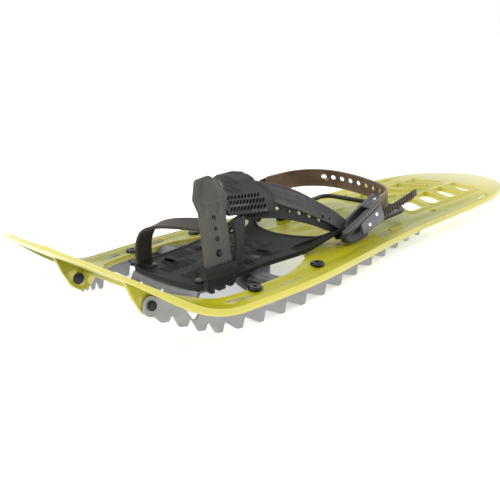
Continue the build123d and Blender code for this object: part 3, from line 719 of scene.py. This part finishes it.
def strap_relief(spots, gaps):
    """Edge bead, raised head panel and two facets at the neck."""
    u, v = spots[:, 0], spots[:, 1]
    lift = 0.5 * ease((2.6 - gaps) / 1.0) * (v < 68)
    half = np.interp(v, [61, 67, 72, 84], [6.5, 9.5, 11.0, 7.0])
    lift += 1.5 * band_of(v, 65, 85, 1.6) * ease((half - np.abs(u + 0.5)) / 1.4)
    for centre in (-7.5, 7.5):
        reach = np.interp(v, [50, 60, 66], [0.0, 3.6, 0.0])
        lift += 0.8 * ease((reach - np.abs(u - centre)) / 1.4)
    for x, y, _ in STRAP_HOLES:
        away = np.hypot(u - x, v - y)
        lift += 0.4 * ease((4.4 - away) / 1.0)
    return lift


vertices, faces = shell(
    rounded(STRAP_OUTLINE, 2.5, 2.0), [ring(*hole) for hole in STRAP_HOLES],
    strap_face, FRONT_STRAP_THICK, step=1.7, edge=0.8, relief=strap_relief)
make_object("front_strap_moulded", vertices, faces, STRAP, "binding",
            ["front_strap"])


def make_band(name, stations, outer, holes, thick, material, body, slot, replaced,
              flip=1, **shape):
    """Moulded band: a shell laid along stations; outer(length) gives its outline."""
    place, length = curved(stations, flip)
    vertices, faces = shell(outer(length), holes, place, thick, **shape)
    make_object(name, vertices, faces, material, body, replaced)


def strip(width):
    """Outline of a plain band of one width, from its length."""
    half = width / 2
    return lambda length: rounded([(0, -half), (length, -half), (length, half), (0, half)],
                                  1.5, 3.0)


TOE_RUN = [((-47.8, -182.5, 23.8), (0, 1, 0)), ((-47.8, -182.5, 33), (0, 1, 0)),
           ((-46.0, -182.5, 44), (0, 1, 0.02)), ((-40, -182.5, 54.3), (0, 1, 0.08)),
           ((-30, -182.5, 60.8), (0, 1, 0.14)), ((-14, -183, 65.8), (0, 1, 0.20)),
           ((4, -183.5, 69.2), (0, 1, 0.25)), ((22, -184, 71.7), (0, 1, 0.29)),
           ((40.2, -184.5, 73.7), (0, 1, 0.30))]
make_band("toe_strap_moulded", TOE_RUN, strip(TOE_STRAP_WIDTH), [], TOE_STRAP_THICK, TOE,
          "binding", "strap_tpu", ["toe_strap"], step=2.6, edge=0.8, relief=bead(1.8, 0.45))

# Heel strap: a band on edge round the heel, falling towards the buckle.
HEEL_RUN = [((-57.6, -10, 60.5), (0.02, 0, 1)), ((-57.8, 8, 60.7), (0.03, 0, 1)),
            ((-57.2, 28, 60.6), (0.04, 0, 1)), ((-52.5, 46, 60), (0.05, -0.03, 1)),
            ((-40, 59.5, 59.2), (0.03, -0.05, 1)), ((-22, 64.6, 58.4), (0, -0.06, 1)),
            ((0, 65.8, 56.6), (0, -0.06, 1)), ((20, 63.3, 54.6), (0, -0.06, 1)),
            ((39.5, 57.0, 53.0), (-0.05, -0.05, 1)), ((52.5, 46, 51.4), (-0.05, -0.03, 1)),
            ((57.0, 31, 50.2), (-0.02, 0, 1)), ((57.4, 10, 48.6), (0, 0, 1)),
            ((57.5, -8, 47.6), (0, 0, 1))]
heel_length = curved(HEEL_RUN)[1]
heel_holes = [ring(HEEL_HOLE_START + HEEL_HOLE_PITCH * k, 1.6, 2.9, 2.3) for k in range(9)]


def heel_relief(spots, gaps):
    """Edge bead, hole rims and a plain raised plate on the inner side."""
    u, v = spots[:, 0], spots[:, 1]
    lift = 0.35 * ease((2.0 - gaps) / 0.8)
    plate = band_of(u, heel_length * 0.20, heel_length * 0.34) * band_of(v, -5.5, 5.5)
    return lift + 0.5 * plate


make_band("heel_strap_moulded", HEEL_RUN, strip(HEEL_STRAP_WIDTH), heel_holes,
          HEEL_STRAP_THICK, BROWN, "heel_loop", "strap_tpu", ["heel_strap"], step=2.6, edge=0.7,
          relief=heel_relief)

# Instep pad: an arched saddle whose far side sits further back.
PAD_RUN = [((47.0, -122, 61), (0, 1, -0.15)), ((45.6, -122, 71), (0, 1, -0.15)),
           ((39.5, -121, 82), (0, 1, -0.12)), ((27, -120, 91), (0, 1, -0.06)),
           ((12, -118.5, 95.6), (0, 1, 0)), ((0, -117, 96.6), (0, 1, 0.02)),
           ((-14, -113, 94.2), (0, 1, 0.02)), ((-29, -107, 87.5), (0, 1, 0)),
           ((-40, -103, 77), (0, 1, 0)), ((-45.5, -101, 66), (0, 1, -0.1)),
           ((-46.4, -100, 60), (0, 1, -0.1))]
pad_place, pad_length = curved(PAD_RUN, -1)
PAD_OUTLINE = [(10, -42), (17, -45), (26, -41), (36, -34), (50, -23), (66, -15), (82, -13),
               (100, -14), (pad_length - 2, -14), (pad_length - 1, 12), (100, 14), (84, 17),
               (66, 16), (58, 12), (48, 10), (34, 16), (22, 17), (11, 14)]


def pad_relief(spots, gaps):
    """Edge bead, raised middle block with a recess, and a field of leaning grooves in front."""
    u, v = spots[:, 0], spots[:, 1]
    lift = 0.6 * ease((2.4 - gaps) / 1.0)
    block = band_of(u, 44, 82, 3) * band_of(v, -12, 13, 3)
    lift += 2.0 * block
    lift -= 2.0 * band_of(u, 58, 74, 1.5) * band_of(v, -2, 8, 1.5)
    field = band_of(u, 30, 92, 4) * band_of(v, -32, -13, 2.5)
    lift -= 0.9 * field * ease(np.cos(2 * math.pi * (u + 0.35 * v) / 4.4) * 1.5)
    return lift


pad_slots = []
for row in range(3):
    for k in range(13):
        u = SLOT_START[0] + row * SLOT_ROW[0]
        v = SLOT_START[1] + k * SLOT_PITCH + row * SLOT_ROW[1]
        if v < SLOT_END:
            pad_slots.append(ring(u, v, 3.3, 0.8, SLOT_LEAN, 12))
vertices, faces = shell(rounded(PAD_OUTLINE, 6, 2.4), pad_slots, pad_place, PAD_THICK, step=2.0,
                        edge=0.4, relief=pad_relief)
make_object("instep_pad_moulded", vertices, faces, PAD, "binding",
            ["instep_pad"])

# Side arms: broad wings from the pad's top down to the heel joints.
ARM_RUN = [((17, -117, 91.5), (-11, 4, 11)), ((29, -111, 87.5), (-14, 6, 13)),
           ((38.5, -98, 81.5), (-13, 5, 16)), ((45.5, -82, 74.5), (-9, 3, 18)),
           ((50.8, -64, 64.5), (-5, 4, 14)), ((56.5, -46, 53.5), (-2, 4, 11)),
           ((59.2, -34, 44.5), (-0.6, 4, 10)), ((59.4, -25.5, 37.0), (-0.2, 4.5, 9))]


def arm_outline(length):
    """Broad at the pad, narrow at the joint."""
    return rounded([(0, -6), (14, -9.5), (34, -10.5), (62, -9), (84, -7.5), (length, -5.5),
                    (length + 1.5, 0), (length, 5.5), (84, 7), (62, 9), (34, 11), (12, 9),
                    (0, 5)], 4, 2.4)


def arm_relief(spots, gaps):
    """Bead, a long raised panel and shallow facets."""
    u, v = spots[:, 0], spots[:, 1]
    lift = 0.5 * ease((2.2 - gaps) / 0.9)
    lift += 0.8 * band_of(u, 22, 62, 3) * ease((5.5 - np.abs(v - 0.5)) / 1.5)
    for start in (26, 38, 50):
        lift -= 0.7 * ease((1.3 - np.abs(u - start - 0.5 * v)) / 0.7) * ease(4.4 - np.abs(v))
    return lift


arm_length = curved(ARM_RUN)[1]
arm_holes = [ring(arm_length - 8.0, 0.5, 1.6), ring(arm_length - 38, -4.5, 1.5),
             ring(arm_length - 29, -3.6, 1.0)]
for side, name in ((1, "left"), (-1, "right")):
    run = [((side * p[0], p[1], p[2]), (side * q[0], q[1], q[2])) for p, q in ARM_RUN]
    make_band(f"side_arm_{name}_moulded", run, arm_outline, arm_holes, ARM_THICK, ARM, "binding",
              "black_plastic", [f"side_arm_{name}"], step=2.2, edge=0.8, relief=arm_relief,
              flip=side)

# Perforated strap beside the left arm.
HOLED_RUN = [((31.5, -140, 74.5), (-6, 2, 12)), ((37.8, -122, 72.5), (-5, 2, 12)),
             ((43.2, -104, 69.5), (-3, 3, 12)), ((46.6, -88, 64.5), (-2, 4, 12)),
             ((50.2, -66, 55.5), (-1, 4, 11)), ((53.4, -48, 46.0), (-0.5, 4, 9)),
             ((54.6, -34, 38.0), (0, 4, 8))]
strap_holes = [ring(39 + 12.4 * k, 0.8, 2.9, 1.7, -0.15, 14) for k in range(5)]


def holed_outline(length):
    """Narrows towards the joint."""
    return rounded([(0, -8), (30, -7.5), (60, -7), (length - 14, -5.5), (length, -3.5),
                    (length, 3.5), (60, 6.5), (30, 7), (0, 7)], 3, 2.4)


make_band("perforated_strap_moulded", HOLED_RUN, holed_outline, strap_holes, HOLED_STRAP_THICK,
          PAD, "binding", "strap_tpu", ["perforated_strap"], step=2.0, edge=0.7,
          relief=bead(1.2, 0.4))

# Pad legs, one at each side of the footbed.
LEG_OUTLINE = [(0, -8), (0.3, -5), (0.8, -4.6), (1, -7), (1, 7), (0.8, 4.6), (0.3, 5), (0, 8)]
NEAR_LEG = [((42.6, -152, 73), (0, 1, 0.1)), ((44.6, -154, 54), (0, 1, 0.1)),
            ((45.0, -157, 40), (0, 1, 0.1)), ((44.2, -160, 27.4), (0, 1, 0.1))]
FAR_LEG = [((-44.5, -92, 66), (0, 1, 0.1)), ((-45.6, -94, 52), (0, 1, 0.1)),
           ((-45.8, -96, 40), (0, 1, 0.1)), ((-45.0, -98, 30.5), (0, 1, 0.1))]


def leg_outline(length):
    """Waisted strip of the given length."""
    return rounded([(share * length, v) for share, v in LEG_OUTLINE], 3, 2.0)


for name, run, replaced, flip in (("left", NEAR_LEG, ["pad_feet"], -1),
                                  ("right", FAR_LEG, [], 1)):
    make_band(f"pad_leg_{name}", run, leg_outline, [], LEG_THICK, PAD, "binding",
              "black_plastic", replaced, step=2.2, edge=0.8, relief=bead(1.0, 0.4), flip=flip)


# ------------------------------------------------------------------ footbed
BED_TILT = math.atan(0.041)
BED_START = Vector((0, -198, 20.8))
BED_UP = Vector((0, -math.sin(BED_TILT), math.cos(BED_TILT)))
BED_ALONG = Vector((0, math.cos(BED_TILT), math.sin(BED_TILT)))


def on_bed(u, v, w):
    """Point on the footbed; its rear arms roll up and out to the heel joints."""
    roll = float(ease((abs(u) - 38) / 22) * ease((v - 105) / 62))
    out = Vector((math.copysign(roll * 1.5, u), 0, roll * 9.0))
    return BED_START + Vector((u, 0, 0)) + BED_ALONG * v + BED_UP * (BED_THICK + w) + out


BED_RIGHT = [(20, -3), (36, -1), (44, 5), (46, 30), (46.5, 60), (49, 82), (53, 105), (56.5, 125),
             (58.5, 150), (59, 168), (54.5, 173), (49, 166), (42, 156), (30, 147), (16, 142)]
bed_outline = smooth_path(mirrored(BED_RIGHT, (0, -4), (0, 140)), 2.6, True)
bed_holes = []
for side in (-1, 1):
    for y in (28, 92):
        bed_holes.append(slot_path(side * 26, y, 14, 5.5, math.radians(90)))
    window = smooth_path([(side * 40, 118), (side * 47, 122), (side * 51.5, 138),
                          (side * 52.5, 152), (side * 47, 150), (side * 40.5, 138)], 2.0, True)
    bed_holes.append(window)


def bed_relief(spots, gaps):
    """Rim, tread bars, raised middle panel and heel recess."""
    u, v = spots[:, 0], spots[:, 1]
    lift = 1.6 * ease((2.6 - gaps) / 1.0)
    bars = ease((np.cos(2 * math.pi * v / 4.6) - 0.1) * 2.0)
    for low, high, x in ((12, 46, 14), (12, 46, -14), (40, 74, 34), (40, 74, -34)):
        lift += 1.2 * bars * band_of(v, low, high, 1.5) * ease(7.5 - np.abs(u - x))
    panel = band_of(v, 56, 118, 2) * ease((17 - np.abs(u)) / 1.4)
    lift += 1.3 * panel
    lift -= 1.1 * panel * ease((np.cos(2 * math.pi * (v + 0.5 * np.abs(u)) / 11) - 0.72) * 5)
    for y in (72, 100):
        lift += 1.2 * ease((6.0 - np.hypot(np.abs(u) - 32, (v - y) * 0.6)) / 1.2)
    return lift


vertices, faces = shell(bed_outline, bed_holes, on_bed, BED_THICK, step=2.2, edge=1.0,
                        relief=bed_relief)
make_object("footbed_moulded", vertices, faces, BED, "binding", ["footbed"])


# ------------------------------------------------------------------ camera, light and floor
CAMERA_SPOT = (463.22, -562.55, 227.26)
CAMERA_TURN = (44.769, 17.279, -1.952)
LENS = 53.47
FLOOR_HALF = 6.0
FLOOR_DROP = -0.0004
WORLD_STRENGTH = 1.0
LAMPS = (("key", (-0.9, -1.0, 1.7), (0, 0, 0), (1.4, 1.4), 13),
         ("rear", (0.6, 1.6, 1.3), (0, 0.1, 0), (1.8, 1.0), 10),
         ("front", (1.3, -1.1, 0.8), (0, -0.05, 0.03), (0.8, 0.8), 3))


def add_camera():
    """Camera at the reference view."""
    azimuth, elevation, roll = (math.radians(a) for a in CAMERA_TURN)
    forward = Vector((-math.sin(azimuth) * math.cos(elevation),
                      math.cos(azimuth) * math.cos(elevation), -math.sin(elevation)))
    right = Vector((math.cos(azimuth), math.sin(azimuth), 0))
    up = right.cross(forward)
    across = right * math.cos(roll) + up * math.sin(roll)
    above = up * math.cos(roll) - right * math.sin(roll)
    data = bpy.data.cameras.new("camera")
    data.lens = LENS
    data.sensor_width = 36.0
    data.clip_start = 0.01
    data.clip_end = 100.0
    camera = bpy.data.objects.new("camera", data)
    bpy.context.scene.collection.objects.link(camera)
    turn = Matrix((across, above, -forward)).transposed()
    camera.matrix_world = Matrix.Translation(Vector(CAMERA_SPOT) * MM) @ turn.to_4x4()
    bpy.context.scene.camera = camera


def add_light(name, spot, aim, size, power):
    """Soft rectangular lamp."""
    data = bpy.data.lights.new(name, "AREA")
    data.shape = "RECTANGLE"
    data.size, data.size_y = size
    data.energy = power
    lamp = bpy.data.objects.new(name, data)
    bpy.context.scene.collection.objects.link(lamp)
    lamp.location = spot
    lamp.rotation_mode = "QUATERNION"
    lamp.rotation_quaternion = (Vector(aim) - Vector(spot)).to_track_quat("-Z", "Y")


def add_stage():
    """Pale floor, soft lamps and an even white surround."""
    mesh = bpy.data.meshes.new("floor")
    corners = [(x * FLOOR_HALF, y * FLOOR_HALF, FLOOR_DROP)
               for x, y in ((-1, -1), (1, -1), (1, 1), (-1, 1))]
    mesh.from_pydata(corners, [], [(0, 1, 2, 3)])
    floor = bpy.data.objects.new("floor", mesh)
    bpy.context.scene.collection.objects.link(floor)
    material, tree, shader = new_material("floor_white", (0.93, 0.93, 0.93), 0.9,
                                          Specular_IOR_Level=0.1, Emission_Strength=0.5)
    shader.inputs["Emission Color"].default_value = (1, 1, 1, 1)
    tones = ramp(tree, noise(tree, 4.0, 2.0), [(0.3, grey(0.92)), (0.7, grey(0.94))])
    tree.links.new(tones, shader.inputs["Base Color"])
    mesh.materials.append(material)
    world = bpy.data.worlds.new("surround")
    bpy.context.scene.world = world
    world.use_nodes = True
    sky = world.node_tree.nodes["Background"]
    sky.inputs["Color"].default_value = (1, 1, 1, 1)
    sky.inputs["Strength"].default_value = WORLD_STRENGTH
    for lamp in LAMPS:
        add_light(*lamp)


add_camera()
add_stage()
bpy.context.scene.view_settings.view_transform = "Standard"
